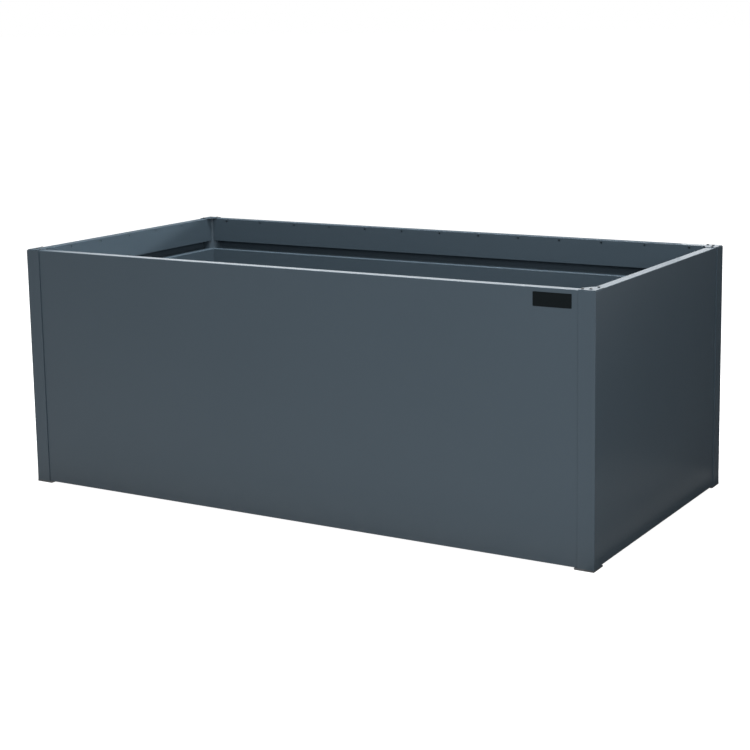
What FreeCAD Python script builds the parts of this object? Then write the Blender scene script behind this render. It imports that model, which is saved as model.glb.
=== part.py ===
# Raised garden bed: a double-walled box of folded, powder-coated sheet steel on four corner posts.
# Sizes are millimetres. +X runs along the length, the front with its label faces -Y, +Z is up, and
# the origin lies on the ground under the middle of the bed.
import FreeCAD
import Part
import math
import os
from FreeCAD import Vector

# Overall sizes
BED_LENGTH = 2000.0  # over the corner posts
BED_WIDTH = 1000.0  # over the corner posts
WALL_HEIGHT = 770.0  # bottom edge of a wall to the top of its rim
WALL_DEPTH = 46.0  # outer face of a wall to the inside face of its lining

# Sheets, folds and fits
SHEET = 1.2
POST_SHEET = 1.5
TIE_SHEET = 2.0
BEND_INSIDE = 0.4  # inside radius of every fold
FIT = 0.3  # gap between pieces that are slid together

# Outer wall panels
RIM_WIDTH = 30.0
SKIRT_DEPTH = 83.0
BOTTOM_FLANGE = 20.0
UPPER_FLANGE = 27.0  # end flange above the ledge
LIP_WIDTH = 26.0
SKIRT_HOLE_DIAMETER = 7.0
SKIRT_HOLE_PITCH = 150.0
SKIRT_HOLE_DROP = 9.0
SKIRT_HOLE_MARGIN = 20.0
END_HOLE_SHIFT = 18.0  # middle hole of an end skirt from the middle of its wall

# Lining panels
LEDGE_DROP = 112.0
LEDGE_BACK_GAP = 1.0
LINING_FLANGE = 18.0
LINING_FLANGE_GAP = 4.0

# Corner posts
POST_SIDE = 48.0  # from the corner where the wall sheets' outer faces would meet
POST_PROUD = 2.5  # the posts' outer faces in front of the wall sheets
POST_CHAMFER = 32.0
POST_TOP_PLATE = 2.0

# Corner plates on the rims
PLATE_SHEET = 1.5
PLATE_LONG_ARM = 50.0
PLATE_END_ARM = 62.0
PLATE_CORNER = 2.0

# Feet
FOOT_SIDE = 60.0
FOOT_HEIGHT = 6.0
FOOT_SETBACK = 2.0
FOOT_EDGE = 1.5
PLUG_HEIGHT = 20.0
PLUG_WALL = 3.0

# Cross ties
TIE_SPACING = 650.0
TIE_TOP = 400.0
TIE_WIDTH = 40.0
TIE_LEG = 20.0
TIE_TAB = 76.0
TIE_BOLT_GAP = 28.0
TIE_BOLT_MARGIN = 14.0

# Label plate
LABEL_WIDTH = 115.0
LABEL_HEIGHT = 40.0
LABEL_THICKNESS = 0.8
LABEL_FROM_END = 70.0
LABEL_DROP = 12.0
LABEL_CORNER = 2.0

# Rim screws
SCREW_DIAMETER = 4.0
SCREW_HEAD_DIAMETER = 8.0
SCREW_HEAD_HEIGHT = 3.0
SCREW_SOCKET = 2.5
SCREW_NUT_FLATS = 7.0
SCREW_NUT_HEIGHT = 3.2
SCREW_EDGE = 13.0  # from the outer edge of a rim
SCREW_LONG_END = 42.0  # from the end of a long rim
SCREW_SHORT_END = 55.0  # from the end of an end rim
SCREW_INNER = 21.0  # from both outer edges

# Panel bolts
BOLT_DIAMETER = 6.0
BOLT_HEAD_DIAMETER = 10.5
BOLT_HEAD_HEIGHT = 3.3
BOLT_SOCKET = 4.0
BOLT_NUT_FLATS = 10.0
BOLT_NUT_HEIGHT = 5.0
BOLT_TIP = 1.5
BOLTS_PER_EDGE = 3
BOLT_END = 80.0
FLANGE_BOLT_INSET = 8.4
HOLE_CLEARANCE = 0.6
THREAD_CLEARANCE = 0.2
SOCKET_DEPTH = 2.0

# Names, each a quarter turn on from the one before
SIDES = ("front", "right", "rear", "left")
CORNERS = ("front_left", "front_right", "rear_right", "rear_left")
LONG_SIDES = ("front", "rear")
QUARTER_TURN = 90.0

# Worked out from the sizes above
WALLS_LENGTH = BED_LENGTH - 2.0 * POST_PROUD  # between the outer faces of the end walls
WALLS_WIDTH = BED_WIDTH - 2.0 * POST_PROUD  # between the outer faces of the long walls
WALL_BOTTOM = FOOT_HEIGHT
RIM_TOP = WALL_BOTTOM + WALL_HEIGHT
SKIRT_BOTTOM = RIM_TOP - SKIRT_DEPTH
LEDGE_TOP = RIM_TOP - LEDGE_DROP
LIP_TOP = LEDGE_TOP - SHEET - BEND_INSIDE - FIT
POST_TOP = RIM_TOP - SHEET
PLATE_TOP = RIM_TOP + PLATE_SHEET
CHAMFER_SUM = 2.0 * POST_SIDE - POST_CHAMFER  # u + v on the chamfer of a post
BOLT_HOLE = BOLT_DIAMETER + HOLE_CLEARANCE
SCREW_HOLE = SCREW_DIAMETER + HOLE_CLEARANCE
SCREW_GRIP = PLATE_SHEET + SHEET + POST_TOP_PLATE
UP = Vector(0, 0, 1)
MEETING = 1e-6  # points closer than this are one point


# Folded sheet


def straight(start, end):
    """A straight edge, or none where its two ends meet."""
    return [] if start.isEqual(end, MEETING) else [Part.LineSegment(start, end).toShape()]


def rounded_edges(points, radius):
    """Edges of an open path whose inner corners are arcs of the given radius."""
    edges = []
    start = points[0]
    for before, corner, after in zip(points, points[1:], points[2:]):
        back = (before - corner).normalize()
        ahead = (after - corner).normalize()
        half_angle = back.getAngle(ahead) / 2.0
        reach = radius / math.tan(half_angle)
        middle = (back + ahead).normalize() * (radius / math.sin(half_angle) - radius)
        edges += straight(start, corner + back * reach)
        edges.append(Part.Arc(corner + back * reach, corner + middle, corner + ahead * reach).toShape())
        start = corner + ahead * reach
    return edges + straight(start, points[-1])


def left_offset(path, distance):
    """The path moved to its left side by a distance, with its corners kept."""
    lines = []
    for (ax, ay), (bx, by) in zip(path, path[1:]):
        length = math.hypot(bx - ax, by - ay)
        dx = (bx - ax) / length
        dy = (by - ay) / length
        lines.append((ax - dy * distance, ay + dx * distance, dx, dy, length))
    moved = [lines[0][:2]]
    for (ax, ay, adx, ady, _), (bx, by, bdx, bdy, _) in zip(lines, lines[1:]):
        step = ((bx - ax) * bdy - (by - ay) * bdx) / (adx * bdy - ady * bdx)
        moved.append((ax + adx * step, ay + ady * step))
    ax, ay, adx, ady, length = lines[-1]
    moved.append((ax + adx * length, ay + ady * length))
    return moved


def folded_face(path, thickness, lift):
    """Cross-section of a folded sheet that lies on the left of a path with left turns only."""
    outer = [lift(*point) for point in path]
    inner = [lift(*point) for point in left_offset(path, thickness)]
    edges = rounded_edges(outer, BEND_INSIDE + thickness) + rounded_edges(inner, BEND_INSIDE)
    edges += straight(outer[0], inner[0]) + straight(outer[-1], inner[-1])
    return Part.Face(Part.Wire(Part.__sortEdges__(edges)))


def folded_run(path, thickness, half_length):
    """Sheet with a section in v and z, run along the wall."""
    face = folded_face(path, thickness, lambda v, z: Vector(-half_length, v, z))
    return face.extrude(Vector(2.0 * half_length, 0, 0))


def folded_upright(path, thickness, bottom, top):
    """Sheet with a section in u and v, run upwards."""
    face = folded_face(path, thickness, lambda u, v: Vector(u, v, bottom))
    return face.extrude(Vector(0, 0, top - bottom))


def plate(u_range, v_range, z_range):
    """Rectangular block between three pairs of limits."""
    (u0, u1), (v0, v1), (z0, z1) = u_range, v_range, z_range
    return Part.makeBox(u1 - u0, v1 - v0, z1 - z0, Vector(u0, v0, z0))


def prism(points, bottom, top):
    """Upright prism on a closed outline of u and v points."""
    loop = [Vector(u, v, bottom) for u, v in points]
    face = Part.Face(Part.makePolygon(loop + loop[:1]))
    return face.extrude(Vector(0, 0, top - bottom))


def joined(shapes):
    """One solid from touching pieces of the same sheet."""
    return shapes[0].multiFuse(shapes[1:]).removeSplitter()


def drilled(shape, holes, diameter, depth):
    """Shape with round holes of a depth each way about (point, direction) pairs."""
    tools = []
    for point, direction in holes:
        tools.append(Part.makeCylinder(diameter / 2.0, 2.0 * depth, point - direction * depth, direction))
    return shape.cut(Part.makeCompound(tools))


# Places


def wall_half_length(side):
    """Half the length of a wall from corner to corner."""
    return WALLS_LENGTH / 2.0 if side in LONG_SIDES else WALLS_WIDTH / 2.0


def wall_distance(side):
    """Distance of a wall's outer face from the middle of the bed."""
    return WALLS_WIDTH / 2.0 if side in LONG_SIDES else WALLS_LENGTH / 2.0


def on_side(shape, side):
    """Shape made in a wall's own u, v, z put on its side of the bed."""
    placed = shape.copy()
    placed.translate(Vector(0, -wall_distance(side), 0))
    placed.rotate(Vector(), UP, SIDES.index(side) * QUARTER_TURN)
    return placed


def from_corner(corner, inset_x, inset_y, height):
    """Point at a height, inset from a corner of the walls along their outer faces."""
    x_sign = 1.0 if corner.endswith("right") else -1.0
    y_sign = 1.0 if corner.startswith("rear") else -1.0
    return Vector(x_sign * (WALLS_LENGTH / 2.0 - inset_x), y_sign * (WALLS_WIDTH / 2.0 - inset_y), height)


def on_corner(shape, corner):
    """Shape made in a corner's own u, v, z put on its corner of the walls."""
    placed = shape.copy()
    placed.rotate(Vector(), UP, CORNERS.index(corner) * QUARTER_TURN)
    placed.translate(from_corner(corner, 0.0, 0.0, 0.0))
    return placed


def pointed(shape, point, direction):
    """Shape made along +Z turned along a direction, with its origin at a point."""
    placed = shape.copy()
    placed.Placement = FreeCAD.Placement(point, FreeCAD.Rotation(UP, direction))
    return placed


def evenly(first, last, count):
    """Evenly spaced values from first to last."""
    return [first + (last - first) * step / (count - 1) for step in range(count)]


def face_half_length(side):
    """Half the length of a wall's sheet between its two posts."""
    return wall_half_length(side) - POST_SIDE - FIT


def edge_bolt_heights():
    """Heights of the bolts along an upright edge of a wall."""
    return evenly(WALL_BOTTOM + BOLT_END, LIP_TOP - BOLT_END, BOLTS_PER_EDGE)


def flange_bolt_places(side):
    """Seats and driving directions of the bolts that hold a wall on its posts."""
    seat = face_half_length(side) - SHEET
    places = []
    for sign in (-1.0, 1.0):
        for height in edge_bolt_heights():
            places.append((Vector(sign * seat, FLANGE_BOLT_INSET, height), Vector(sign, 0, 0)))
    return places


def lining_bolt_places(side):
    """Seats and driving directions of the bolts that hold a lining on its wall's lips."""
    reach = face_half_length(side) - LIP_WIDTH / 2.0
    places = []
    for sign in (-1.0, 1.0):
        for height in edge_bolt_heights():
            places.append((Vector(sign * reach, WALL_DEPTH, height), Vector(0, -1, 0)))
    return places


def tie_bolt_places(tie_u):
    """Seats and driving directions of the bolts at one end of a tie, on the lining's inside."""
    low = TIE_TOP - TIE_TAB + TIE_BOLT_MARGIN
    heights = (low, low + TIE_BOLT_GAP)
    return [(Vector(tie_u, WALL_DEPTH + TIE_SHEET, height), Vector(0, -1, 0)) for height in heights]


def tie_offsets():
    """Places of the ties along the length."""
    return {"left": -TIE_SPACING / 2.0, "right": TIE_SPACING / 2.0}


def post_screw_seats(corner):
    """Seats of the rim screws that reach into the top of a post."""
    spots = ((SCREW_LONG_END, SCREW_EDGE), (SCREW_INNER, SCREW_INNER))
    return [from_corner(corner, x, y, PLATE_TOP) for x, y in spots]


def end_screw_seat(corner):
    """Seat of the rim screw that holds a corner plate on an end rim, beyond the post."""
    return from_corner(corner, SCREW_EDGE, SCREW_SHORT_END, PLATE_TOP)


def screwed(shape):
    """Shape with the holes of all the rim screws that pass through it."""
    seats = [end_screw_seat(corner) for corner in CORNERS]
    seats += sum((post_screw_seats(corner) for corner in CORNERS), [])
    return drilled(shape, [(seat, UP) for seat in seats], SCREW_HOLE, SCREW_GRIP + FIT)


# Sheet metal pieces


def skirt_holes(side, skirt_half):
    """Places of the row of small holes under the rim, counted from its middle hole."""
    middle = 0.0 if side in LONG_SIDES else END_HOLE_SHIFT
    count = int((skirt_half - middle - SKIRT_HOLE_MARGIN) // SKIRT_HOLE_PITCH)
    height = RIM_TOP - SKIRT_HOLE_DROP
    places = [middle + step * SKIRT_HOLE_PITCH for step in range(-count, count + 1)]
    return [(Vector(place, RIM_WIDTH, height), Vector(0, 1, 0)) for place in places]


def outer_panel(side):
    """Wall sheet folded into a rim, a skirt, a bottom flange and end flanges with lips."""
    half = face_half_length(side)
    wall_half = wall_half_length(side)
    fold = BEND_INSIDE + SHEET
    skirt_half = wall_half - CHAMFER_SUM + RIM_WIDTH - fold - FIT
    lip_depth = WALL_DEPTH - SHEET
    rim_path = [(RIM_WIDTH, SKIRT_BOTTOM), (RIM_WIDTH, RIM_TOP), (0, RIM_TOP)]
    wall_path = rim_path + [(0, WALL_BOTTOM), (BOTTOM_FLANGE, WALL_BOTTOM)]
    rim_path.append((0, RIM_TOP - fold))
    lip_path = [(-half + LIP_WIDTH, lip_depth), (-half, lip_depth), (-half, 0)]
    lip_path += [(-u, v) for u, v in reversed(lip_path)]
    flange_path = [(-half, UPPER_FLANGE), (-half, 0), (half, 0), (half, UPPER_FLANGE)]
    rim_inner = RIM_WIDTH - fold
    mitre = wall_half - FIT
    rim_outline = [(-mitre, 0), (mitre, 0), (mitre - rim_inner, rim_inner), (rim_inner - mitre, rim_inner)]
    panel = joined([
        folded_run(wall_path, SHEET, half - fold),
        folded_upright(lip_path, SHEET, WALL_BOTTOM + fold, LIP_TOP),
        folded_upright(flange_path, SHEET, LIP_TOP, RIM_TOP - fold),
        folded_run(rim_path, SHEET, half),
        folded_run(rim_path[:3], SHEET, skirt_half).common(
            plate((-wall_half, wall_half), (fold, WALL_DEPTH), (0, RIM_TOP))),
        prism(rim_outline, RIM_TOP - SHEET, RIM_TOP).cut(plate((-half, half), (0, fold), (0, RIM_TOP))),
    ])
    panel = drilled(panel, skirt_holes(side, skirt_half), SKIRT_HOLE_DIAMETER, SHEET + FIT)
    panel = drilled(panel, flange_bolt_places(side), BOLT_HOLE, SHEET + FIT)
    lip_bolts = [(seat - Vector(0, SHEET, 0), way) for seat, way in lining_bolt_places(side)]
    return drilled(panel, lip_bolts, BOLT_HOLE, SHEET + FIT)


def lining_panel(side):
    """Inner wall sheet with a ledge folded back to the outer sheet and a short bottom flange."""
    long_side = side in LONG_SIDES
    half = wall_half_length(side) - WALL_DEPTH - (0.0 if long_side else FIT)
    flange_half = face_half_length(side) - LIP_WIDTH - LINING_FLANGE_GAP
    back_half = face_half_length(side) - SHEET - FIT
    ledge_back = SHEET + LEDGE_BACK_GAP
    fold = BEND_INSIDE + SHEET
    face_path = [(WALL_DEPTH, WALL_BOTTOM), (WALL_DEPTH, LEDGE_TOP), (WALL_DEPTH - fold, LEDGE_TOP)]
    flange_path = [(WALL_DEPTH - LINING_FLANGE, WALL_BOTTOM), (WALL_DEPTH, WALL_BOTTOM)]
    flange_path.append((WALL_DEPTH, LEDGE_TOP - fold))
    z_range = (LEDGE_TOP - SHEET, LEDGE_TOP)
    pieces = [
        folded_run(face_path, SHEET, half),
        folded_run(flange_path, SHEET, flange_half),
        plate((-back_half, back_half), (ledge_back, WALL_DEPTH - fold), z_range),
        plate((-half, half), (UPPER_FLANGE + FIT, WALL_DEPTH - fold), z_range),
    ]
    if long_side:
        pieces += [ledge_corner(sign, half, z_range) for sign in (-1.0, 1.0)]
    panel = joined(pieces)
    bolts = lining_bolt_places(side)
    if long_side:
        panel = drilled(panel, sum((tie_bolt_places(u) for u in tie_offsets().values()), []),
                        BOLT_HOLE, TIE_SHEET + 2.0 * SHEET)
    return drilled(panel, bolts, BOLT_HOLE, 2.0 * SHEET)


def ledge_corner(sign, half, z_range):
    """Ledge tongue that closes the pocket between a post's chamfer and the lining's corner."""
    back = UPPER_FLANGE + FIT
    front = WALL_DEPTH - BEND_INSIDE - SHEET
    root = half - WALL_DEPTH
    chamfer_start = half + WALL_DEPTH - CHAMFER_SUM - 2.0 * FIT
    outline = [(root, back), (chamfer_start + back, back), (chamfer_start + WALL_DEPTH, WALL_DEPTH)]
    outline += [(half, WALL_DEPTH), (half, front), (root, front)]
    return prism([(sign * u, v) for u, v in outline], *z_range)


def post_outline(inset):
    """Five-sided section of a post, moved inwards by an inset."""
    outer = inset - POST_PROUD
    side = POST_SIDE - inset
    short = POST_SIDE - POST_CHAMFER - inset * math.tan(math.pi / 8.0)
    return [(outer, outer), (side, outer), (side, short), (short, side), (outer, side)]


def corner_post():
    """Closed five-sided tube with a flat top, whose edges beside the wall sheets are sharp."""
    post = prism(post_outline(0.0), WALL_BOTTOM, POST_TOP)
    uprights = [edge for edge in post.Edges if abs(edge.tangentAt(edge.FirstParameter).z) > 0.5]
    folds = [edge for edge in uprights if abs(edge.CenterOfMass.x - edge.CenterOfMass.y) < POST_SIDE]
    post = post.makeFillet(BEND_INSIDE + POST_SHEET, folds)
    post = post.cut(prism(post_outline(POST_SHEET), 0.0, POST_TOP - POST_TOP_PLATE))
    heights = edge_bolt_heights()
    holes = [(Vector(POST_SIDE, FLANGE_BOLT_INSET, height), Vector(1, 0, 0)) for height in heights]
    holes += [(Vector(FLANGE_BOLT_INSET, POST_SIDE, height), Vector(0, 1, 0)) for height in heights]
    return drilled(post, holes, BOLT_HOLE, POST_SHEET + FIT)


def corner_plate(corner):
    """Five-sided plate that lies on both rims at a corner and bridges their inner corner."""
    outline = [(0, 0), (PLATE_LONG_ARM, 0), (PLATE_LONG_ARM, RIM_WIDTH), (RIM_WIDTH, PLATE_END_ARM)]
    outline.append((0, PLATE_END_ARM))
    places = [from_corner(corner, x, y, RIM_TOP) for x, y in outline]
    block = prism([(place.x, place.y) for place in places], RIM_TOP, PLATE_TOP)
    uprights = [edge for edge in block.Edges if abs(edge.tangentAt(edge.FirstParameter).z) > 0.5]
    return block.makeFillet(PLATE_CORNER, uprights)


def foot():
    """Moulded foot pad with a hollow plug that sits in the open lower end of a post."""
    outer = -POST_PROUD
    side = outer + FOOT_SIDE
    short = 2.0 * WALL_DEPTH - FOOT_SETBACK - side
    outline = [(outer, outer), (side, outer), (side, short), (short, side), (outer, side)]
    pad = prism(outline, 0.0, FOOT_HEIGHT)
    lower = [edge for edge in pad.Edges if edge.BoundBox.ZMax < FOOT_EDGE]
    pad = pad.makeChamfer(FOOT_EDGE, lower)
    plug = prism(post_outline(POST_SHEET + FIT), FOOT_HEIGHT - FOOT_EDGE, FOOT_HEIGHT + PLUG_HEIGHT)
    hollow = prism(post_outline(POST_SHEET + FIT + PLUG_WALL), FOOT_HEIGHT, FOOT_HEIGHT + PLUG_HEIGHT)
    return joined([pad, plug]).cut(hollow)


def cross_tie(tie_u):
    """Channel across the bed with a bolting tab bent down at each end."""
    reach = WALLS_WIDTH / 2.0 - WALL_DEPTH
    half_width = TIE_WIDTH / 2.0
    path = [(half_width, TIE_TOP - TIE_LEG), (half_width, TIE_TOP)]
    path += [(-u, z) for u, z in reversed(path)]
    face = folded_face(path, TIE_SHEET, lambda x, z: Vector(tie_u + x, -reach, z))
    pieces = [face.extrude(Vector(0, 2.0 * reach, 0))]
    for low, high in ((-reach, -reach + TIE_SHEET), (reach - TIE_SHEET, reach)):
        tab_z = (TIE_TOP - TIE_TAB, TIE_TOP - TIE_SHEET)
        pieces.append(plate((tie_u - half_width, tie_u + half_width), (low, high), tab_z))
    tie = joined(pieces)
    front = [(seat - Vector(0, WALLS_WIDTH / 2.0, 0), way) for seat, way in tie_bolt_places(tie_u)]
    rear = [(Vector(seat.x, -seat.y, seat.z), way) for seat, way in front]
    return drilled(tie, front + rear, BOLT_HOLE, 2.0 * TIE_SHEET)


def label_plate():
    """Bare plate on the front panel, near the right corner."""
    right = BED_LENGTH / 2.0 - LABEL_FROM_END
    top = RIM_TOP - LABEL_DROP
    block = plate((right - LABEL_WIDTH, right), (-LABEL_THICKNESS, 0), (top - LABEL_HEIGHT, top))
    corners = [edge for edge in block.Edges if abs(edge.tangentAt(edge.FirstParameter).y) > 0.5]
    return on_side(block.makeFillet(LABEL_CORNER, corners), "front")


# Fasteners


def hexagon(across_flats, bottom, top):
    """Six-sided prism about the Z axis."""
    radius = across_flats / math.sqrt(3.0)
    turns = [step * math.pi / 3.0 for step in range(6)]
    return prism([(radius * math.cos(turn), radius * math.sin(turn)) for turn in turns], bottom, top)


def domed_screw(diameter, head_diameter, head_height, socket, length):
    """Domed socket screw along Z, with the underside of its head at the origin and its shank below."""
    edge = head_diameter / 2.0
    shank = diameter / 2.0
    ball = (edge ** 2 + head_height ** 2) / (2.0 * head_height)
    middle = math.asin(edge / ball) / 2.0
    crown = Vector(ball * math.sin(middle), 0, head_height - ball + ball * math.cos(middle))
    outline = [Vector(0, 0, head_height), Vector(0, 0, -length), Vector(shank, 0, -length)]
    outline += [Vector(shank, 0, 0), Vector(edge, 0, 0)]
    edges = [Part.LineSegment(a, b).toShape() for a, b in zip(outline, outline[1:])]
    edges.append(Part.Arc(outline[-1], crown, outline[0]).toShape())
    screw = Part.Face(Part.Wire(edges)).revolve(Vector(), UP, 360.0)
    return Part.Solid(screw).cut(hexagon(socket, head_height - SOCKET_DEPTH, head_height))


def nut(diameter, across_flats, height):
    """Nut below the origin along Z."""
    bore = Part.makeCylinder((diameter + THREAD_CLEARANCE) / 2.0, height, Vector(0, 0, -height))
    return hexagon(across_flats, -height, 0.0).cut(bore)


def panel_bolt(grip):
    """Panel bolt that reaches through a grip and its nut."""
    length = grip + BOLT_NUT_HEIGHT + BOLT_TIP
    return domed_screw(BOLT_DIAMETER, BOLT_HEAD_DIAMETER, BOLT_HEAD_HEIGHT, BOLT_SOCKET, length)


def bolted(places, grip):
    """Bolts on their seats and nuts at the far side of the grip, for (seat, direction) places."""
    bolt = panel_bolt(grip)
    bolt_nut = nut(BOLT_DIAMETER, BOLT_NUT_FLATS, BOLT_NUT_HEIGHT)
    bolts = [pointed(bolt, seat, way * -1.0) for seat, way in places]
    nuts = [pointed(bolt_nut, seat + way * grip, way * -1.0) for seat, way in places]
    return bolts, nuts


def wall_fasteners(place_list, grip):
    """Bolts and nuts of one kind for every wall."""
    bolts = []
    nuts = []
    for side in SIDES:
        side_bolts, side_nuts = bolted(place_list(side), grip)
        bolts += [on_side(bolt, side) for bolt in side_bolts]
        nuts += [on_side(side_nut, side) for side_nut in side_nuts]
    return Part.makeCompound(bolts), Part.makeCompound(nuts)


def tie_fasteners():
    """Bolts and nuts at both ends of both ties."""
    bolts = []
    nuts = []
    for side in LONG_SIDES:
        for tie_u in tie_offsets().values():
            end_bolts, end_nuts = bolted(tie_bolt_places(tie_u), TIE_SHEET + SHEET)
            bolts += [on_side(bolt, side) for bolt in end_bolts]
            nuts += [on_side(end_nut, side) for end_nut in end_nuts]
    return Part.makeCompound(bolts), Part.makeCompound(nuts)


def rim_screw(grip):
    """Rim screw that reaches through a grip and its nut."""
    length = grip + SCREW_NUT_HEIGHT + BOLT_TIP
    return domed_screw(SCREW_DIAMETER, SCREW_HEAD_DIAMETER, SCREW_HEAD_HEIGHT, SCREW_SOCKET, length)


def rim_fasteners():
    """Rim screws, and the nuts under the post tops and under the end rims."""
    end_grip = PLATE_SHEET + SHEET
    screw_nut = nut(SCREW_DIAMETER, SCREW_NUT_FLATS, SCREW_NUT_HEIGHT)
    places = []
    for corner in CORNERS:
        places += [(seat, SCREW_GRIP) for seat in post_screw_seats(corner)]
        places.append((end_screw_seat(corner), end_grip))
    screws = [pointed(rim_screw(grip), seat, UP) for seat, grip in places]
    nuts = [pointed(screw_nut, seat - UP * grip, UP) for seat, grip in places]
    return Part.makeCompound(screws), Part.makeCompound(nuts)


# The whole bed


def build():
    """Every node of the bed by name."""
    nodes = {}
    post = corner_post()
    pad = foot()
    for corner in CORNERS:
        nodes["corner_post_" + corner] = screwed(on_corner(post, corner))
        nodes["corner_plate_" + corner] = screwed(corner_plate(corner))
        nodes["foot_" + corner] = on_corner(pad, corner)
    for side in SIDES:
        nodes[side + "_outer_panel"] = screwed(on_side(outer_panel(side), side))
        nodes[side + "_inner_panel"] = on_side(lining_panel(side), side)
    for name, tie_u in tie_offsets().items():
        nodes["cross_tie_" + name] = cross_tie(tie_u)
    nodes["blank_label"] = label_plate()
    post_grip = SHEET + FIT + POST_SHEET
    nodes["post_bolts"], nodes["post_nuts"] = wall_fasteners(flange_bolt_places, post_grip)
    nodes["lining_bolts"], nodes["lining_nuts"] = wall_fasteners(lining_bolt_places, 2.0 * SHEET)
    nodes["tie_bolts"], nodes["tie_nuts"] = tie_fasteners()
    nodes["rim_screws"], nodes["rim_nuts"] = rim_fasteners()
    return nodes


def save(nodes):
    """One STEP file per node."""
    os.makedirs("parts", exist_ok=True)
    for name, shape in nodes.items():
        shape.exportStep("parts/%s.step" % name)
        print("%-26s solids %3d  volume %10.0f mm3" % (name, len(shape.Solids), shape.Volume))


save(build())
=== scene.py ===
"""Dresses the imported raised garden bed.

The sheets, posts, feet and hardware keep their CAD shapes and get finishes. The rim screws and the
bare label plate are modelled over their CAD nodes. A studio and the photograph's camera follow.
"""
import logging
import math
from dataclasses import dataclass
from enum import Enum
from typing import Callable, Dict, Iterable, List, Sequence, Tuple

import bpy
from mathutils import Matrix, Quaternion, Vector


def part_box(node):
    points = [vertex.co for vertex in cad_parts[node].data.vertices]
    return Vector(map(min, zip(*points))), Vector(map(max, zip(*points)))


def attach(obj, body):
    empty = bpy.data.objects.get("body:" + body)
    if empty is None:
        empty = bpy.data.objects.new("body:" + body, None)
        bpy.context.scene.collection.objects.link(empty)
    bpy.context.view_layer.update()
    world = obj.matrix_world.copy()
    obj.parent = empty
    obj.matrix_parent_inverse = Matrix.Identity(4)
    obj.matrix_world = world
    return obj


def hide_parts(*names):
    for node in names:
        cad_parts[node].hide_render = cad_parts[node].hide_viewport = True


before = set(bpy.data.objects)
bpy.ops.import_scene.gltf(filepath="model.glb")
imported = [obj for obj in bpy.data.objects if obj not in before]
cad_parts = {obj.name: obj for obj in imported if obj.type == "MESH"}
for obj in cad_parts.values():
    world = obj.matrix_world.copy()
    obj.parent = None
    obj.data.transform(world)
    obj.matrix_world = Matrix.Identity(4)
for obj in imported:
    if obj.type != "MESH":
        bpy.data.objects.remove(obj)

Colour = Tuple[float, float, float]
Place = Tuple[float, float, float]

LOG = logging.getLogger("garden_bed")
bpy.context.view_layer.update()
PHOTO_SIDE = 750
MILLIMETRE = 0.001
FACING = 0.9  # least part of a normal along an axis, for a face that looks that way
SQUARE_ON = 0.99  # the same for a face that looks straight that way
WHITE: Colour = (1.0, 1.0, 1.0)


class Slot(Enum):
    """Material slots of the record."""

    POWDER = "powder_coated_steel"
    BLACK = "blackened_steel"
    ZINC = "zinc_steel"
    FOOT = "foot_plastic"
    LABEL = "label_plastic"


class Side(Enum):
    """The four walls of the bed."""

    FRONT = "front"
    RIGHT = "right"
    REAR = "rear"
    LEFT = "left"


class Corner(Enum):
    """The four corners of the bed."""

    FRONT_LEFT = "front_left"
    FRONT_RIGHT = "front_right"
    REAR_RIGHT = "rear_right"
    REAR_LEFT = "rear_left"


# Shader helpers


class NodeBench:
    """Adds and links nodes in one node tree."""

    def __init__(self, tree: bpy.types.NodeTree) -> None:
        """Takes the tree to work in."""
        self.tree = tree

    def add(self, kind: str, **values: object) -> bpy.types.Node:
        """Adds a node.

        Args:
            kind: Blender's type name of the node.
            values: Properties of the node, or default values of the inputs of that name.

        Returns:
            The new node.
        """
        node = self.tree.nodes.new(kind)
        for key, value in values.items():
            if hasattr(node, key):
                setattr(node, key, value)
            else:
                node.inputs[key.replace("_", " ")].default_value = value
        return node

    def link(self, source: bpy.types.NodeSocket, target: bpy.types.NodeSocket) -> None:
        """Links an output to an input."""
        self.tree.links.new(source, target)

    def show(self, shader: bpy.types.NodeSocket, kind: str = "ShaderNodeOutputMaterial") -> None:
        """Adds the tree's output node and links a shader to its surface."""
        self.link(shader, self.add(kind).inputs["Surface"])

    def math(self, operation: str, first: object, second: object,
             clamp: bool = False) -> bpy.types.NodeSocket:
        """Adds a math node.

        Args:
            operation: Blender's name of the operation.
            first: A socket or a number.
            second: A socket or a number.
            clamp: Whether the result is kept between 0 and 1.

        Returns:
            The result's socket.
        """
        node = self.add("ShaderNodeMath", operation=operation, use_clamp=clamp)
        for index, value in enumerate((first, second)):
            if isinstance(value, bpy.types.NodeSocket):
                self.link(value, node.inputs[index])
            else:
                node.inputs[index].default_value = value
        return node.outputs[0]

    def spread(self, value: bpy.types.NodeSocket, low: float, high: float) -> bpy.types.NodeSocket:
        """Maps a value from 0..1 onto low..high.

        Args:
            value: The value's socket.
            low: The result for 0.
            high: The result for 1.

        Returns:
            The result's socket.
        """
        node = self.add("ShaderNodeMapRange", To_Min=low, To_Max=high)
        self.link(value, node.inputs["Value"])
        return node.outputs["Result"]


GroupParts = Tuple[bpy.types.NodeTree, NodeBench, bpy.types.Node, bpy.types.Node]


def blank_material(name: str) -> bpy.types.Material:
    """Makes a material with an empty node tree.

    Args:
        name: Name of the material.

    Returns:
        The material.
    """
    made = bpy.data.materials.new(name)
    made.use_nodes = True
    made.node_tree.nodes.clear()
    return made


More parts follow.
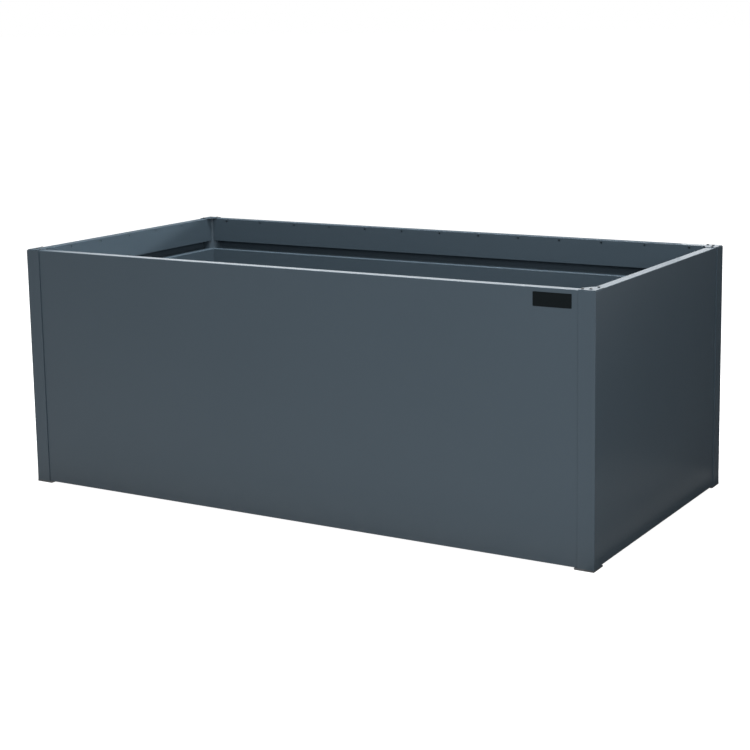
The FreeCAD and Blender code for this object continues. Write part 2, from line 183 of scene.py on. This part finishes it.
class EffectGroups:
    """Shader groups that more than one finish uses, each built once."""

    PEBBLE_SMOOTHNESS = 0.8
    SPECK_SCALE = 0.45  # as a share of the pebbles' scale
    SPECK_DETAIL = 2.0
    SPECK_ROUGHNESS = 0.6
    GRAIN_GAIN = 0.6
    SWELL_DETAIL = 1.0
    SWELL_ROUGHNESS = 0.35
    DUST_REACH = 0.12  # metres above the ground
    DUST_SCALE = 14.0
    DUST_DETAIL = 4.0
    DUST_ROUGHNESS = 0.65

    def __init__(self) -> None:
        """Builds every group."""
        self.grain = self._grain()
        self.waves = self._waves()
        self.dust = self._dust()

    @staticmethod
    def _group(name: str, numbers: Sequence[str], results: Sequence[str]) -> GroupParts:
        """Makes an empty group that reads coordinates and numbers, and gives numbers.

        Args:
            name: Name of the group.
            numbers: Names of its number inputs.
            results: Names of its outputs.

        Returns:
            The group, its bench, its input node and its output node.
        """
        group = bpy.data.node_groups.new(name, "ShaderNodeTree")
        sockets = group.interface
        sockets.new_socket("Vector", in_out="INPUT", socket_type="NodeSocketVector")
        for label in numbers:
            sockets.new_socket(label, in_out="INPUT", socket_type="NodeSocketFloat")
        for label in results:
            sockets.new_socket(label, in_out="OUTPUT", socket_type="NodeSocketFloat")
        bench = NodeBench(group)
        return group, bench, bench.add("NodeGroupInput"), bench.add("NodeGroupOutput")

    def _grain(self) -> bpy.types.NodeTree:
        """Builds the fine pebbled skin of a sprayed or moulded surface, as a height and a mask.

        Returns:
            The group.
        """
        group, bench, source, result = self._group(
            "fine_grain", ("Scale", "Depth"), ("Height", "Mask"))
        pebbles = bench.add("ShaderNodeTexVoronoi", feature="SMOOTH_F1",
                            Smoothness=self.PEBBLE_SMOOTHNESS)
        specks = bench.add("ShaderNodeTexNoise", Detail=self.SPECK_DETAIL,
                           Roughness=self.SPECK_ROUGHNESS)
        speck_scale = bench.math("MULTIPLY", source.outputs["Scale"], self.SPECK_SCALE)
        bench.link(source.outputs["Vector"], pebbles.inputs["Vector"])
        bench.link(source.outputs["Vector"], specks.inputs["Vector"])
        bench.link(source.outputs["Scale"], pebbles.inputs["Scale"])
        bench.link(speck_scale, specks.inputs["Scale"])
        mixed = bench.math("ADD", pebbles.outputs["Distance"], specks.outputs["Fac"])
        mask = bench.math("MULTIPLY", mixed, self.GRAIN_GAIN, clamp=True)
        height = bench.math("MULTIPLY", mask, source.outputs["Depth"])
        bench.link(mask, result.inputs["Mask"])
        bench.link(height, result.inputs["Height"])
        return group

    def _waves(self) -> bpy.types.NodeTree:
        """Builds the slow swells of a large thin sheet, as a height and a mask.

        Returns:
            The group.
        """
        group, bench, source, result = self._group(
            "sheet_swell", ("Scale", "Depth"), ("Height", "Mask"))
        swell = bench.add("ShaderNodeTexNoise", Detail=self.SWELL_DETAIL,
                          Roughness=self.SWELL_ROUGHNESS)
        bench.link(source.outputs["Vector"], swell.inputs["Vector"])
        bench.link(source.outputs["Scale"], swell.inputs["Scale"])
        height = bench.math("MULTIPLY", swell.outputs["Fac"], source.outputs["Depth"])
        bench.link(swell.outputs["Fac"], result.inputs["Mask"])
        bench.link(height, result.inputs["Height"])
        return group

    def _dust(self) -> bpy.types.NodeTree:
        """Builds the thin dust that gathers towards the ground, as a mask.

        Returns:
            The group.
        """
        group, bench, source, result = self._group("ground_dust", ("Amount",), ("Mask",))
        height = bench.add("ShaderNodeSeparateXYZ")
        cloud = bench.add("ShaderNodeTexNoise", Scale=self.DUST_SCALE, Detail=self.DUST_DETAIL,
                          Roughness=self.DUST_ROUGHNESS)
        bench.link(source.outputs["Vector"], height.inputs[0])
        bench.link(source.outputs["Vector"], cloud.inputs["Vector"])
        share = bench.math("DIVIDE", height.outputs["Z"], self.DUST_REACH)
        fade = bench.math("SUBTRACT", 1.0, share, clamp=True)
        patchy = bench.math("MULTIPLY", fade, cloud.outputs["Fac"])
        mask = bench.math("MULTIPLY", patchy, source.outputs["Amount"], clamp=True)
        bench.link(mask, result.inputs["Mask"])
        return group


# Finishes


@dataclass(frozen=True)
class Finish:
    """A surface finish with fine grain, slow sheet swells and ground dust.

    Attributes:
        name: Name of the material.
        slot: The record's material slot; not used.
        light: Colour on the high spots of grain and swells.
        dark: Colour in the low spots.
        roughness: Roughness where the surface is cleanest and where it is dullest.
        grain_scale: Grains per metre.
        grain_depth: Height of the grain, in metres.
        swell_scale: Swells per metre.
        swell_depth: Height of the swells, in metres.
        grain_share: Part of the grain in the colour.
        swell_share: Part of the swells in the colour.
        dust: Strength of the ground dust.
        metallic: 1 for bare metal.
        specular: Level of the mirrored light.
        dust_colour: Colour of the dust.
    """

    name: str
    slot: Slot
    light: Colour
    dark: Colour
    roughness: Tuple[float, float]
    grain_scale: float = 700.0
    grain_depth: float = 0.000012
    swell_scale: float = 2.1
    swell_depth: float = 0.0
    grain_share: float = 0.55
    swell_share: float = 0.45
    dust: float = 0.0
    metallic: float = 0.0
    specular: float = 0.5
    dust_colour: Colour = (0.20, 0.21, 0.21)

    def material(self, groups: EffectGroups) -> bpy.types.Material:
        """Builds the finish.

        Args:
            groups: The shared shader groups.

        Returns:
            The material.
        """
        made = blank_material(self.name)
        bench = NodeBench(made.node_tree)
        place = bench.add("ShaderNodeTexCoord").outputs["Object"]
        grain = self._effect(bench, groups.grain, place,
                             Scale=self.grain_scale, Depth=self.grain_depth)
        swell = self._effect(bench, groups.waves, place,
                             Scale=self.swell_scale, Depth=self.swell_depth)
        dust = self._effect(bench, groups.dust, place, Amount=self.dust)
        shade = bench.math("ADD", bench.math("MULTIPLY", grain.outputs["Mask"], self.grain_share),
                           bench.math("MULTIPLY", swell.outputs["Mask"], self.swell_share),
                           clamp=True)
        tint = self._mix(bench, shade, self.dark, self.light)
        colour = self._mix(bench, dust.outputs["Mask"], tint, self.dust_colour)
        dull = bench.math("ADD", grain.outputs["Mask"], dust.outputs["Mask"], clamp=True)
        height = bench.math("ADD", grain.outputs["Height"], swell.outputs["Height"])
        bump = bench.add("ShaderNodeBump", Strength=1.0, Distance=1.0)
        bench.link(height, bump.inputs["Height"])
        shader = bench.add("ShaderNodeBsdfPrincipled", Metallic=self.metallic,
                           Specular_IOR_Level=self.specular)
        bench.link(colour, shader.inputs["Base Color"])
        bench.link(bench.spread(dull, *self.roughness), shader.inputs["Roughness"])
        bench.link(bump.outputs["Normal"], shader.inputs["Normal"])
        bench.show(shader.outputs["BSDF"])
        return made

    @staticmethod
    def _effect(bench: NodeBench, group: bpy.types.NodeTree, place: bpy.types.NodeSocket,
                **values: float) -> bpy.types.Node:
        """Places a shared group with its own values.

        Args:
            bench: Where the group is placed.
            group: The shared group.
            place: The coordinates that it reads.
            values: Values of its inputs by name.

        Returns:
            The group's node.
        """
        node = bench.add("ShaderNodeGroup")
        node.node_tree = group
        bench.link(place, node.inputs["Vector"])
        for label, value in values.items():
            node.inputs[label].default_value = value
        return node

    @staticmethod
    def _mix(bench: NodeBench, factor: bpy.types.NodeSocket, first: object,
             second: Colour) -> bpy.types.NodeSocket:
        """Mixes two colours.

        Args:
            bench: Where the mix is placed.
            factor: The share of the second colour.
            first: A colour or a socket.
            second: The other colour.

        Returns:
            The mixed colour's socket.
        """
        node = bench.add("ShaderNodeMix", data_type="RGBA")
        bench.link(factor, node.inputs["Factor"])
        if isinstance(first, bpy.types.NodeSocket):
            bench.link(first, node.inputs["A"])
        else:
            node.inputs["A"].default_value = (*first, 1.0)
        node.inputs["B"].default_value = (*second, 1.0)
        return node.outputs["Result"]


ANTHRACITE = Finish(
    "anthracite_powder_coat", Slot.POWDER, (0.044, 0.063, 0.080), (0.036, 0.053, 0.068),
    (0.32, 0.44), swell_depth=0.0035, dust=0.10, specular=0.2)
INNER_ANTHRACITE = Finish(
    "inner_powder_coat", Slot.POWDER, (0.044, 0.063, 0.080), (0.036, 0.053, 0.068),
    (0.36, 0.48), swell_depth=0.003, dust=0.16, specular=0.2)
BLACK_STEEL = Finish(
    "black_screw_steel", Slot.BLACK, (0.022, 0.024, 0.027), (0.012, 0.013, 0.015),
    (0.34, 0.52), grain_scale=1500.0, grain_depth=0.000004)
ZINC = Finish(
    "zinc_plated_steel", Slot.ZINC, (0.60, 0.61, 0.62), (0.46, 0.47, 0.49),
    (0.30, 0.46), grain_scale=1200.0, grain_depth=0.000004, metallic=1.0)
FOOT_PLASTIC = Finish(
    "foot_moulding", Slot.FOOT, (0.034, 0.038, 0.043), (0.022, 0.025, 0.029),
    (0.55, 0.72), grain_scale=1100.0, grain_depth=0.00002, dust=0.35)
LABEL_PLASTIC = Finish(
    "label_skin", Slot.LABEL, (0.006, 0.008, 0.009), (0.003, 0.005, 0.006),
    (0.50, 0.62), grain_scale=1600.0, grain_depth=0.000004, specular=0.03)


# Modelling helpers


class Workbench:
    """Steps that shape a primitive by hand."""

    @staticmethod
    def clear() -> None:
        """Leaves edit mode and deselects everything."""
        if bpy.context.object is not None and bpy.context.object.mode != "OBJECT":
            bpy.ops.object.mode_set(mode="OBJECT")
        bpy.ops.object.select_all(action="DESELECT")

    @staticmethod
    def choose(piece: bpy.types.Object) -> None:
        """Selects one piece alone, in object mode, and makes it the active one.

        Args:
            piece: The piece.
        """
        Workbench.clear()
        piece.select_set(True)
        bpy.context.view_layer.objects.active = piece

    @staticmethod
    def pick_faces(piece: bpy.types.Object,
                   test: Callable[[bpy.types.MeshPolygon], bool]) -> None:
        """Selects the faces that pass a test and enters edit mode in face mode.

        Args:
            piece: The active mesh.
            test: Says whether a face is wanted.
        """
        Workbench._pick("FACE", piece.data.polygons, test)

    @staticmethod
    def pick_edges(piece: bpy.types.Object, test: Callable[[bpy.types.MeshEdge], bool]) -> None:
        """Selects the edges that pass a test and enters edit mode in edge mode.

        Args:
            piece: The active mesh.
            test: Says whether an edge is wanted.
        """
        Workbench._pick("EDGE", piece.data.edges, test)

    @staticmethod
    def _pick(mode: str, items: Iterable[object], test: Callable[[object], bool]) -> None:
        """Selects items of one kind of the active mesh and leaves it in edit mode.

        Args:
            mode: Blender's name of the select mode.
            items: The mesh's items of that kind.
            test: Says whether an item is wanted.
        """
        bpy.ops.object.mode_set(mode="EDIT")
        bpy.ops.mesh.select_mode(type=mode)
        bpy.ops.mesh.select_all(action="DESELECT")
        bpy.ops.object.mode_set(mode="OBJECT")
        for item in items:
            item.select = bool(test(item))
        bpy.ops.object.mode_set(mode="EDIT")

    @staticmethod
    def settle(piece: bpy.types.Object) -> None:
        """Returns to object mode and puts the piece's place into its mesh."""
        Workbench.choose(piece)
        bpy.ops.object.transform_apply(location=True, rotation=True, scale=True)

    @staticmethod
    def dress(piece: bpy.types.Object, material: bpy.types.Material) -> None:
        """Gives a mesh one material."""
        piece.data.materials.clear()
        piece.data.materials.append(material)


# Sub-assemblies


class Wardrobe:
    """The finishes as materials, each built once."""

    def __init__(self) -> None:
        """Builds the shared groups."""
        self.groups = EffectGroups()
        self.made: Dict[str, bpy.types.Material] = {}

    def get(self, finish: Finish) -> bpy.types.Material:
        """Finds the material of a finish, and builds it the first time.

        Args:
            finish: The finish.

        Returns:
            Its material.
        """
        if finish.name not in self.made:
            self.made[finish.name] = finish.material(self.groups)
        return self.made[finish.name]

    def dress_nodes(self, finishes: Dict[str, Finish]) -> List[str]:
        """Dresses CAD nodes, which keep their shapes.

        Args:
            finishes: The finish of each node by name.

        Returns:
            Names of the dressed nodes.
        """
        for name, finish in finishes.items():
            Workbench.dress(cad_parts[name], self.get(finish))
        return list(finishes)


@dataclass
class SheetMetal:
    """Wall sheets, linings, posts, corner plates and ties, which keep their CAD shapes."""

    outer: Finish = ANTHRACITE
    inner: Finish = INNER_ANTHRACITE

    def dress(self, wardrobe: Wardrobe) -> List[str]:
        """Dresses the sheet-metal nodes.

        Args:
            wardrobe: The materials.

        Returns:
            Names of the dressed nodes.
        """
        finishes = {f"{side.value}_outer_panel": self.outer for side in Side}
        finishes.update({f"corner_post_{corner.value}": self.outer for corner in Corner})
        finishes.update({f"corner_plate_{corner.value}": self.outer for corner in Corner})
        finishes.update({f"{side.value}_inner_panel": self.inner for side in Side})
        finishes.update({"cross_tie_left": self.inner, "cross_tie_right": self.inner})
        return wardrobe.dress_nodes(finishes)


@dataclass
class SmallParts:
    """Feet, bolts and nuts, which keep their CAD shapes."""

    feet: Finish = FOOT_PLASTIC
    hardware: Finish = ZINC
    hardware_nodes: Sequence[str] = (
        "rim_nuts", "post_bolts", "post_nuts", "lining_bolts", "lining_nuts", "tie_bolts",
        "tie_nuts")

    def dress(self, wardrobe: Wardrobe) -> List[str]:
        """Dresses the feet and the hardware.

        Args:
            wardrobe: The materials.

        Returns:
            Names of the dressed nodes.
        """
        finishes = {f"foot_{corner.value}": self.feet for corner in Corner}
        finishes.update({name: self.hardware for name in self.hardware_nodes})
        return wardrobe.dress_nodes(finishes)


@dataclass
class LabelPlate:
    """The bare plate at the right of the front wall.

    Attributes:
        name: Name of the piece.
        node: The CAD node that it stands for.
        corner: Radius of the corners.
        corner_segments: Steps in a corner.
        edge: Width of the rounded front edge and of the slope into the field.
        edge_segments: Steps in the front edge.
        border: Width of the border round the field.
        sink: Depth of the field.
        finish: Its finish.
    """

    name: str = "bare_label_plate"
    node: str = "blank_label"
    corner: float = 2.0 * MILLIMETRE
    corner_segments: int = 4
    edge: float = 0.2 * MILLIMETRE
    edge_segments: int = 2
    border: float = 1.6 * MILLIMETRE
    sink: float = 0.15 * MILLIMETRE
    finish: Finish = LABEL_PLASTIC

    def build(self, wardrobe: Wardrobe) -> bpy.types.Object:
        """Models the plate over its CAD node.

        Args:
            wardrobe: The materials.

        Returns:
            The plate.
        """
        low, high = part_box(self.node)
        size = high - low
        Workbench.clear()
        bpy.ops.mesh.primitive_cube_add(size=1.0, location=(low + high) / 2.0)
        plate = bpy.context.object
        plate.name = self.name
        bpy.ops.transform.resize(value=size)
        Workbench.settle(plate)
        self._round(plate, size)
        self._sink_field(plate, size)
        Workbench.settle(plate)
        Workbench.dress(plate, wardrobe.get(self.finish))
        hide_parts(self.node)
        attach(plate, "root")
        return plate

    def _round(self, plate: bpy.types.Object, size: Vector) -> None:
        """Rounds the corners and the front edge.

        Args:
            plate: The plain block.
            size: Its sizes along the axes.
        """
        points = plate.data.vertices

        def runs_back(edge: bpy.types.MeshEdge) -> bool:
            """Says whether an edge runs from front to back."""
            first, second = (points[index].co for index in edge.vertices)
            return abs(first.y - second.y) > size.y / 2.0

        Workbench.pick_edges(plate, runs_back)
        bpy.ops.mesh.bevel(offset=self.corner, segments=self.corner_segments, affect="EDGES")
        bpy.ops.object.mode_set(mode="OBJECT")
        Workbench.pick_faces(plate, lambda face: face.normal.y < -FACING)
        bpy.ops.mesh.bevel(offset=self.edge, segments=self.edge_segments, affect="EDGES")
        bpy.ops.object.mode_set(mode="OBJECT")

    def _sink_field(self, plate: bpy.types.Object, size: Vector) -> None:
        """Sinks the field inside the border.

        Args:
            plate: The rounded plate.
            size: Its sizes along the axes.
        """
        large = size.x * size.z / 2.0
        Workbench.pick_faces(plate, lambda face: face.normal.y < -SQUARE_ON and face.area > large)
        bpy.ops.mesh.inset(thickness=self.border)
        bpy.ops.mesh.inset(thickness=self.edge)
        bpy.ops.transform.translate(value=(0.0, self.sink, 0.0))


@dataclass
class RimScrews:
    """Domed socket screws in the corner plates of the rim.

    Attributes:
        name: Name of the joined piece.
        node: The CAD node that it stands for.
        plate_node: The node whose top the heads sit on.
        spread: Points of the CAD screws within this many head radii belong to one screw.
        head_radius: Radius of the heads.
        head_height: Height of the heads.
        head_sides: Sides of the heads' outline.
        dome: Height of the domed part of the heads.
        dome_segments: Steps in the dome.
        shank_radius: Radius of the shanks.
        socket_radius: Radius of the sockets over their corners.
        socket_depth: Depth of the sockets.
        socket_sides: Sides of the sockets.
        smooth_angle: Steepest edge that is shaded smooth, in degrees.
        finish: Their finish.
    """

    name: str = "rim_screw_heads"
    node: str = "rim_screws"
    plate_node: str = "corner_plate_front_left"
    spread: float = 2.2
    head_radius: float = 4.0 * MILLIMETRE
    head_height: float = 2.75 * MILLIMETRE
    head_sides: int = 32
    dome: float = 1.7 * MILLIMETRE
    dome_segments: int = 6
    shank_radius: float = 2.0 * MILLIMETRE
    socket_radius: float = 1.45 * MILLIMETRE
    socket_depth: float = 1.7 * MILLIMETRE
    socket_sides: int = 6
    smooth_angle: float = 40.0
    finish: Finish = BLACK_STEEL

    def build(self, wardrobe: Wardrobe) -> bpy.types.Object:
        """Models one screw, copies it to every seat and joins the copies.

        Args:
            wardrobe: The materials.

        Returns:
            The screws as one piece.
        """
        seats, length = self._seats()
        pattern = self._pattern(length)
        screws = [self._copy(pattern, seat) for seat in seats]
        bpy.data.meshes.remove(pattern.data)
        return self._join(screws, wardrobe)

    def _seats(self) -> Tuple[List[Vector], float]:
        """Reads the screws' places from their CAD node.

        Returns:
            Middles of the heads' undersides, and the length of the shanks.
        """
        points = [vertex.co.copy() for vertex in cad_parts[self.node].data.vertices]
        seat_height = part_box(self.plate_node)[1].z
        reach = self.spread * self.head_radius
        groups: List[List[Vector]] = []
        for point in points:
            near = [group for group in groups if (group[0].xy - point.xy).length < reach]
            if near:
                near[0].append(point)
            else:
                groups.append([point])
        seats = []
        for group in groups:
            xs = [point.x for point in group]
            ys = [point.y for point in group]
            middle = ((min(xs) + max(xs)) / 2.0, (min(ys) + max(ys)) / 2.0)
            seats.append(Vector((*middle, seat_height)))
        return seats, seat_height - min(point.z for point in points)

    def _pattern(self, length: float) -> bpy.types.Object:
        """Models one screw with its seat at the origin: domed head, plain shank and socket.

        Args:
            length: Length of the shank below the seat.

        Returns:
            The screw.
        """
        Workbench.clear()
        bpy.ops.mesh.primitive_cylinder_add(
            vertices=self.head_sides, radius=self.head_radius, depth=self.head_height,
            location=(0.0, 0.0, self.head_height / 2.0))
        screw = bpy.context.object
        Workbench.settle(screw)
        Workbench.pick_faces(screw, lambda face: face.normal.z > FACING)
        bpy.ops.mesh.bevel(offset=self.dome, segments=self.dome_segments, affect="EDGES")
        bpy.ops.object.mode_set(mode="OBJECT")
        Workbench.pick_faces(screw, lambda face: face.normal.z < -FACING)
        bpy.ops.mesh.inset(thickness=self.head_radius - self.shank_radius)
        bpy.ops.mesh.extrude_region_move(TRANSFORM_OT_translate={"value": (0.0, 0.0, -length)})
        Workbench.settle(screw)
        self._cut_socket(screw)
        bpy.ops.object.shade_smooth_by_angle(angle=math.radians(self.smooth_angle))
        return screw

    def _cut_socket(self, screw: bpy.types.Object) -> None:
        """Cuts the socket into the head.

        Args:
            screw: The screw at the origin, which is left as the active object.
        """
        Workbench.clear()
        bpy.ops.mesh.primitive_cylinder_add(
            vertices=self.socket_sides, radius=self.socket_radius, depth=2.0 * self.socket_depth,
            location=(0.0, 0.0, self.head_height))
        cutter = bpy.context.object
        Workbench.settle(cutter)
        Workbench.choose(screw)
        cut = screw.modifiers.new("socket", "BOOLEAN")
        cut.operation = "DIFFERENCE"
        cut.object = cutter
        cut.solver = "EXACT"
        bpy.ops.object.modifier_apply(modifier=cut.name)
        bpy.data.meshes.remove(cutter.data)

    @staticmethod
    def _copy(pattern: bpy.types.Object, seat: Vector) -> bpy.types.Object:
        """Copies the screw, with its own mesh, to a seat.

        Args:
            pattern: The screw at the origin.
            seat: Middle of the head's underside.

        Returns:
            The copy.
        """
        Workbench.choose(pattern)
        bpy.ops.object.duplicate(linked=False)
        screw = bpy.context.object
        screw.location = seat
        return screw

    def _join(self, pieces: List[bpy.types.Object], wardrobe: Wardrobe) -> bpy.types.Object:
        """Joins the screws into the piece that stands for their CAD node.

        Args:
            pieces: The screws.
            wardrobe: The materials.

        Returns:
            The joined piece.
        """
        Workbench.clear()
        for piece in pieces:
            piece.select_set(True)
        bpy.context.view_layer.objects.active = pieces[0]
        bpy.ops.object.join()
        joined = bpy.context.object
        joined.name = self.name
        Workbench.settle(joined)
        Workbench.dress(joined, wardrobe.get(self.finish))
        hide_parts(self.node)
        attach(joined, "root")
        return joined


# Studio


@dataclass
class SoftBox:
    """A soft lamp that faces a point, with a grid that can narrow its beam.

    Attributes:
        name: Name of the lamp.
        place: Its middle.
        size: Width and height of its face.
        watts: Its power.
        target: The point that it faces.
        spread: Angle of its beam, in degrees.
        turn: Its turn about the line to the target, in degrees.
    """

    name: str
    place: Place
    size: Tuple[float, float]
    watts: float
    target: Place = (0.0, 0.0, 0.4)
    spread: float = 180.0
    turn: float = 0.0

    def build(self) -> bpy.types.Object:
        """Adds the lamp.

        Returns:
            The lamp.
        """
        data = bpy.data.lights.new(self.name, "AREA")
        data.shape = "RECTANGLE"
        data.size, data.size_y = self.size
        data.energy = self.watts
        data.spread = math.radians(self.spread)
        lamp = bpy.data.objects.new(self.name, data)
        bpy.context.scene.collection.objects.link(lamp)
        lamp.location = self.place
        lamp.visible_camera = False
        lamp.rotation_mode = "QUATERNION"
        aim = (Vector(self.target) - Vector(self.place)).to_track_quat("-Z", "Y")
        lamp.rotation_quaternion = aim @ Quaternion((0.0, 0.0, 1.0), math.radians(self.turn))
        return lamp


@dataclass
class DarkCard:
    """A thin dark card that only mirrored rays meet, so it neither shows nor shades.

    Attributes:
        name: Name of the card.
        middle: Its middle.
        size: Its sizes along the axes before the tilt.
        tilt: Its turn about the X axis, in degrees.
    """

    name: str
    middle: Place
    size: Tuple[float, float, float]
    tilt: float = 0.0

    def build(self, paint: bpy.types.Material) -> bpy.types.Object:
        """Adds the card.

        Args:
            paint: The dark paint that all the cards share.

        Returns:
            The card.
        """
        Workbench.clear()
        bpy.ops.mesh.primitive_cube_add(size=1.0)
        card = bpy.context.object
        card.name = self.name
        bpy.ops.transform.resize(value=self.size)
        Workbench.settle(card)
        card.rotation_euler = (math.radians(self.tilt), 0.0, 0.0)
        card.location = self.middle
        Workbench.settle(card)
        card.visible_camera = False
        card.visible_diffuse = False
        card.visible_shadow = False
        Workbench.dress(card, paint)
        return card


@dataclass
class Studio:
    """White floor and surroundings, soft lamps, and dark cards for the mirrored light.

    Attributes:
        floor_side: Side of the square floor.
        floor_colour: Paint of the floor, which sends light back to the walls.
        floor_lift: Glow that shows the floor white.
        sky_level: Strength of the even fill light.
        card_colour: Paint of the dark cards.
        cards: The dark cards, which darken what the right end wall and the rims mirror.
        lamps: The soft lamps.
    """

    floor_side: float = 400.0
    floor_colour: Colour = (0.37, 0.37, 0.37)
    floor_lift: float = 0.94
    sky_level: float = 0.20
    card_colour: Colour = (0.05, 0.05, 0.05)
    cards: Sequence[DarkCard] = (
        DarkCard("contact_card", (1.015, 0.0, 0.003), (0.09, 1.2, 0.001)),
        DarkCard("near_card", (1.16, 0.0, 0.003), (0.16, 1.2, 0.001)),
        DarkCard("floor_card", (1.515, 0.0, 0.003), (0.47, 1.2, 0.001)),
        DarkCard("far_card", (1.36, 7.3, 0.003), (0.78, 13.4, 0.001)),
        DarkCard("end_card", (1.75, 7.94, -1.35), (0.002, 14.6, 8.0), tilt=18.0),
        DarkCard("left_flag", (-1.03, 0.1, 0.808), (0.002, 1.2, 0.06)),
        DarkCard("rear_flag", (-0.1, 0.53, 0.808), (1.9, 0.002, 0.06)),
    )
    lamps: Sequence[SoftBox] = (
        SoftBox("right_softbox", (3.5, -3.5, 2.2), (1.6, 1.6), 95.0),
        SoftBox("high_softbox", (1.2, -2.6, 4.2), (1.4, 1.4), 140.0, (-0.4, 0.2, 0.7)),
        SoftBox("top_softbox", (-0.2, 0.2, 4.6), (1.5, 0.7), 380.0, (-0.2, 0.201, 0.4)),
        SoftBox("inner_softbox", (0.9, -0.04, 0.925), (0.80, 0.30), 0.48, (-0.97, -0.04, 0.815),
                spread=2.4, turn=16.0),
        SoftBox("back_softbox", (-2.6, 4.4, 1.7), (5.0, 2.6), 76.0),
    )

    def build(self) -> None:
        """Adds the floor, the surroundings, the dark cards and the lamps."""
        self._floor()
        self._surroundings()
        paint = self._card_paint()
        for card in self.cards:
            card.build(paint)
        for lamp in self.lamps:
            lamp.build()

    def _card_paint(self) -> bpy.types.Material:
        """Builds the dull dark paint of the cards.

        Returns:
            The paint.
        """
        made = blank_material("studio_card_paint")
        bench = NodeBench(made.node_tree)
        paint = bench.add("ShaderNodeBsdfDiffuse", Color=(*self.card_colour, 1.0))
        bench.show(paint.outputs[0])
        return made

    @staticmethod
    def _shown(bench: NodeBench) -> bpy.types.NodeSocket:
        """Gives 1 for rays that look at the background, straight or mirrored, and 0 for others.

        Args:
            bench: Where the nodes are placed.

        Returns:
            The result's socket.
        """
        path = bench.add("ShaderNodeLightPath")
        straight, mirrored = path.outputs["Is Camera Ray"], path.outputs["Is Glossy Ray"]
        return bench.math("ADD", straight, mirrored, clamp=True)

    def _floor(self) -> bpy.types.Object:
        """Adds the floor, which shows white around the bed and keeps its shadow.

        Returns:
            The floor.
        """
        Workbench.clear()
        bpy.ops.mesh.primitive_plane_add(size=self.floor_side)
        floor = bpy.context.object
        floor.name = "studio_floor"
        made = blank_material("studio_floor_paint")
        bench = NodeBench(made.node_tree)
        paint = bench.add("ShaderNodeBsdfDiffuse", Color=(*self.floor_colour, 1.0))
        glow = bench.add("ShaderNodeEmission")
        lift = bench.math("MULTIPLY", self._shown(bench), self.floor_lift)
        bench.link(lift, glow.inputs["Strength"])
        both = bench.add("ShaderNodeAddShader")
        bench.link(paint.outputs[0], both.inputs[0])
        bench.link(glow.outputs[0], both.inputs[1])
        bench.show(both.outputs[0])
        Workbench.dress(floor, made)
        return floor

    def _surroundings(self) -> None:
        """Sets a white background and an even fill light."""
        world = bpy.data.worlds.new("studio_surroundings")
        bpy.context.scene.world = world
        world.use_nodes = True
        world.node_tree.nodes.clear()
        bench = NodeBench(world.node_tree)
        fill = bench.add("ShaderNodeBackground", Color=(*WHITE, 1.0), Strength=self.sky_level)
        white = bench.add("ShaderNodeBackground", Color=(*WHITE, 1.0))
        mix = bench.add("ShaderNodeMixShader")
        bench.link(self._shown(bench), mix.inputs[0])
        bench.link(fill.outputs[0], mix.inputs[1])
        bench.link(white.outputs[0], mix.inputs[2])
        bench.show(mix.outputs[0], "ShaderNodeOutputWorld")


@dataclass
class Viewpoint:
    """The photograph's camera, as angles about the bed and a distance.

    Attributes:
        azimuth: Angle from the front towards the right end, in degrees.
        elevation: Angle above the ground, in degrees.
        roll: Turn about the line of sight, in degrees.
        distance: Distance from the middle of the bed's underside, along the line of sight.
        focal_pixels: Focal length in pixels of the photograph.
        side_shift: Place of that middle to the side of the line of sight.
        rise_shift: Place of that middle above the line of sight.
        lens_drop: Vertical shift of the lens, in picture widths.
        ground: Height of that middle.
        sensor: Width of the sensor, in millimetres.
        sight: Farthest distance that is drawn.
    """

    azimuth: float = 31.0305
    elevation: float = 9.4597
    roll: float = -0.95
    distance: float = 5.4583
    focal_pixels: float = 1665.83
    side_shift: float = -0.00613
    rise_shift: float = -0.59181
    lens_drop: float = -0.1
    ground: float = 0.006
    sensor: float = 36.0
    sight: float = 1000.0

    def build(self) -> bpy.types.Object:
        """Adds the camera and makes it the scene's own.

        Returns:
            The camera.
        """
        turn, lift, tilt = map(math.radians, (self.azimuth, self.elevation, self.roll))
        back = Vector((math.sin(turn) * math.cos(lift),
                       -math.cos(turn) * math.cos(lift),
                       math.sin(lift)))
        right = Vector((math.cos(turn), math.sin(turn), 0.0))
        up = back.cross(right)
        side = right * math.cos(tilt) + up * math.sin(tilt)
        top = up * math.cos(tilt) - right * math.sin(tilt)
        place = back * self.distance - side * self.side_shift - top * self.rise_shift
        place.z += self.ground
        data = bpy.data.cameras.new("photo_camera")
        data.sensor_width = self.sensor
        data.lens = self.focal_pixels / PHOTO_SIDE * self.sensor
        data.shift_y = self.lens_drop
        data.clip_end = self.sight
        camera = bpy.data.objects.new("photo_camera", data)
        bpy.context.scene.collection.objects.link(camera)
        axes = Matrix((side, top, back)).transposed()
        camera.matrix_world = Matrix.Translation(place) @ axes.to_4x4()
        bpy.context.scene.camera = camera
        return camera


def main() -> None:
    """Builds every sub-assembly in order and reports each piece."""
    logging.basicConfig(level=logging.INFO, format="%(name)s: %(message)s")
    bpy.context.scene.view_settings.view_transform = "Standard"
    wardrobe = Wardrobe()
    for name in SheetMetal().dress(wardrobe) + SmallParts().dress(wardrobe):
        LOG.info("dressed %s", name)
    LOG.info("built %s", LabelPlate().build(wardrobe).name)
    LOG.info("built %s", RimScrews().build(wardrobe).name)
    Studio().build()
    LOG.info("placed %s", Viewpoint().build().name)


if __name__ == "__main__":
    main()
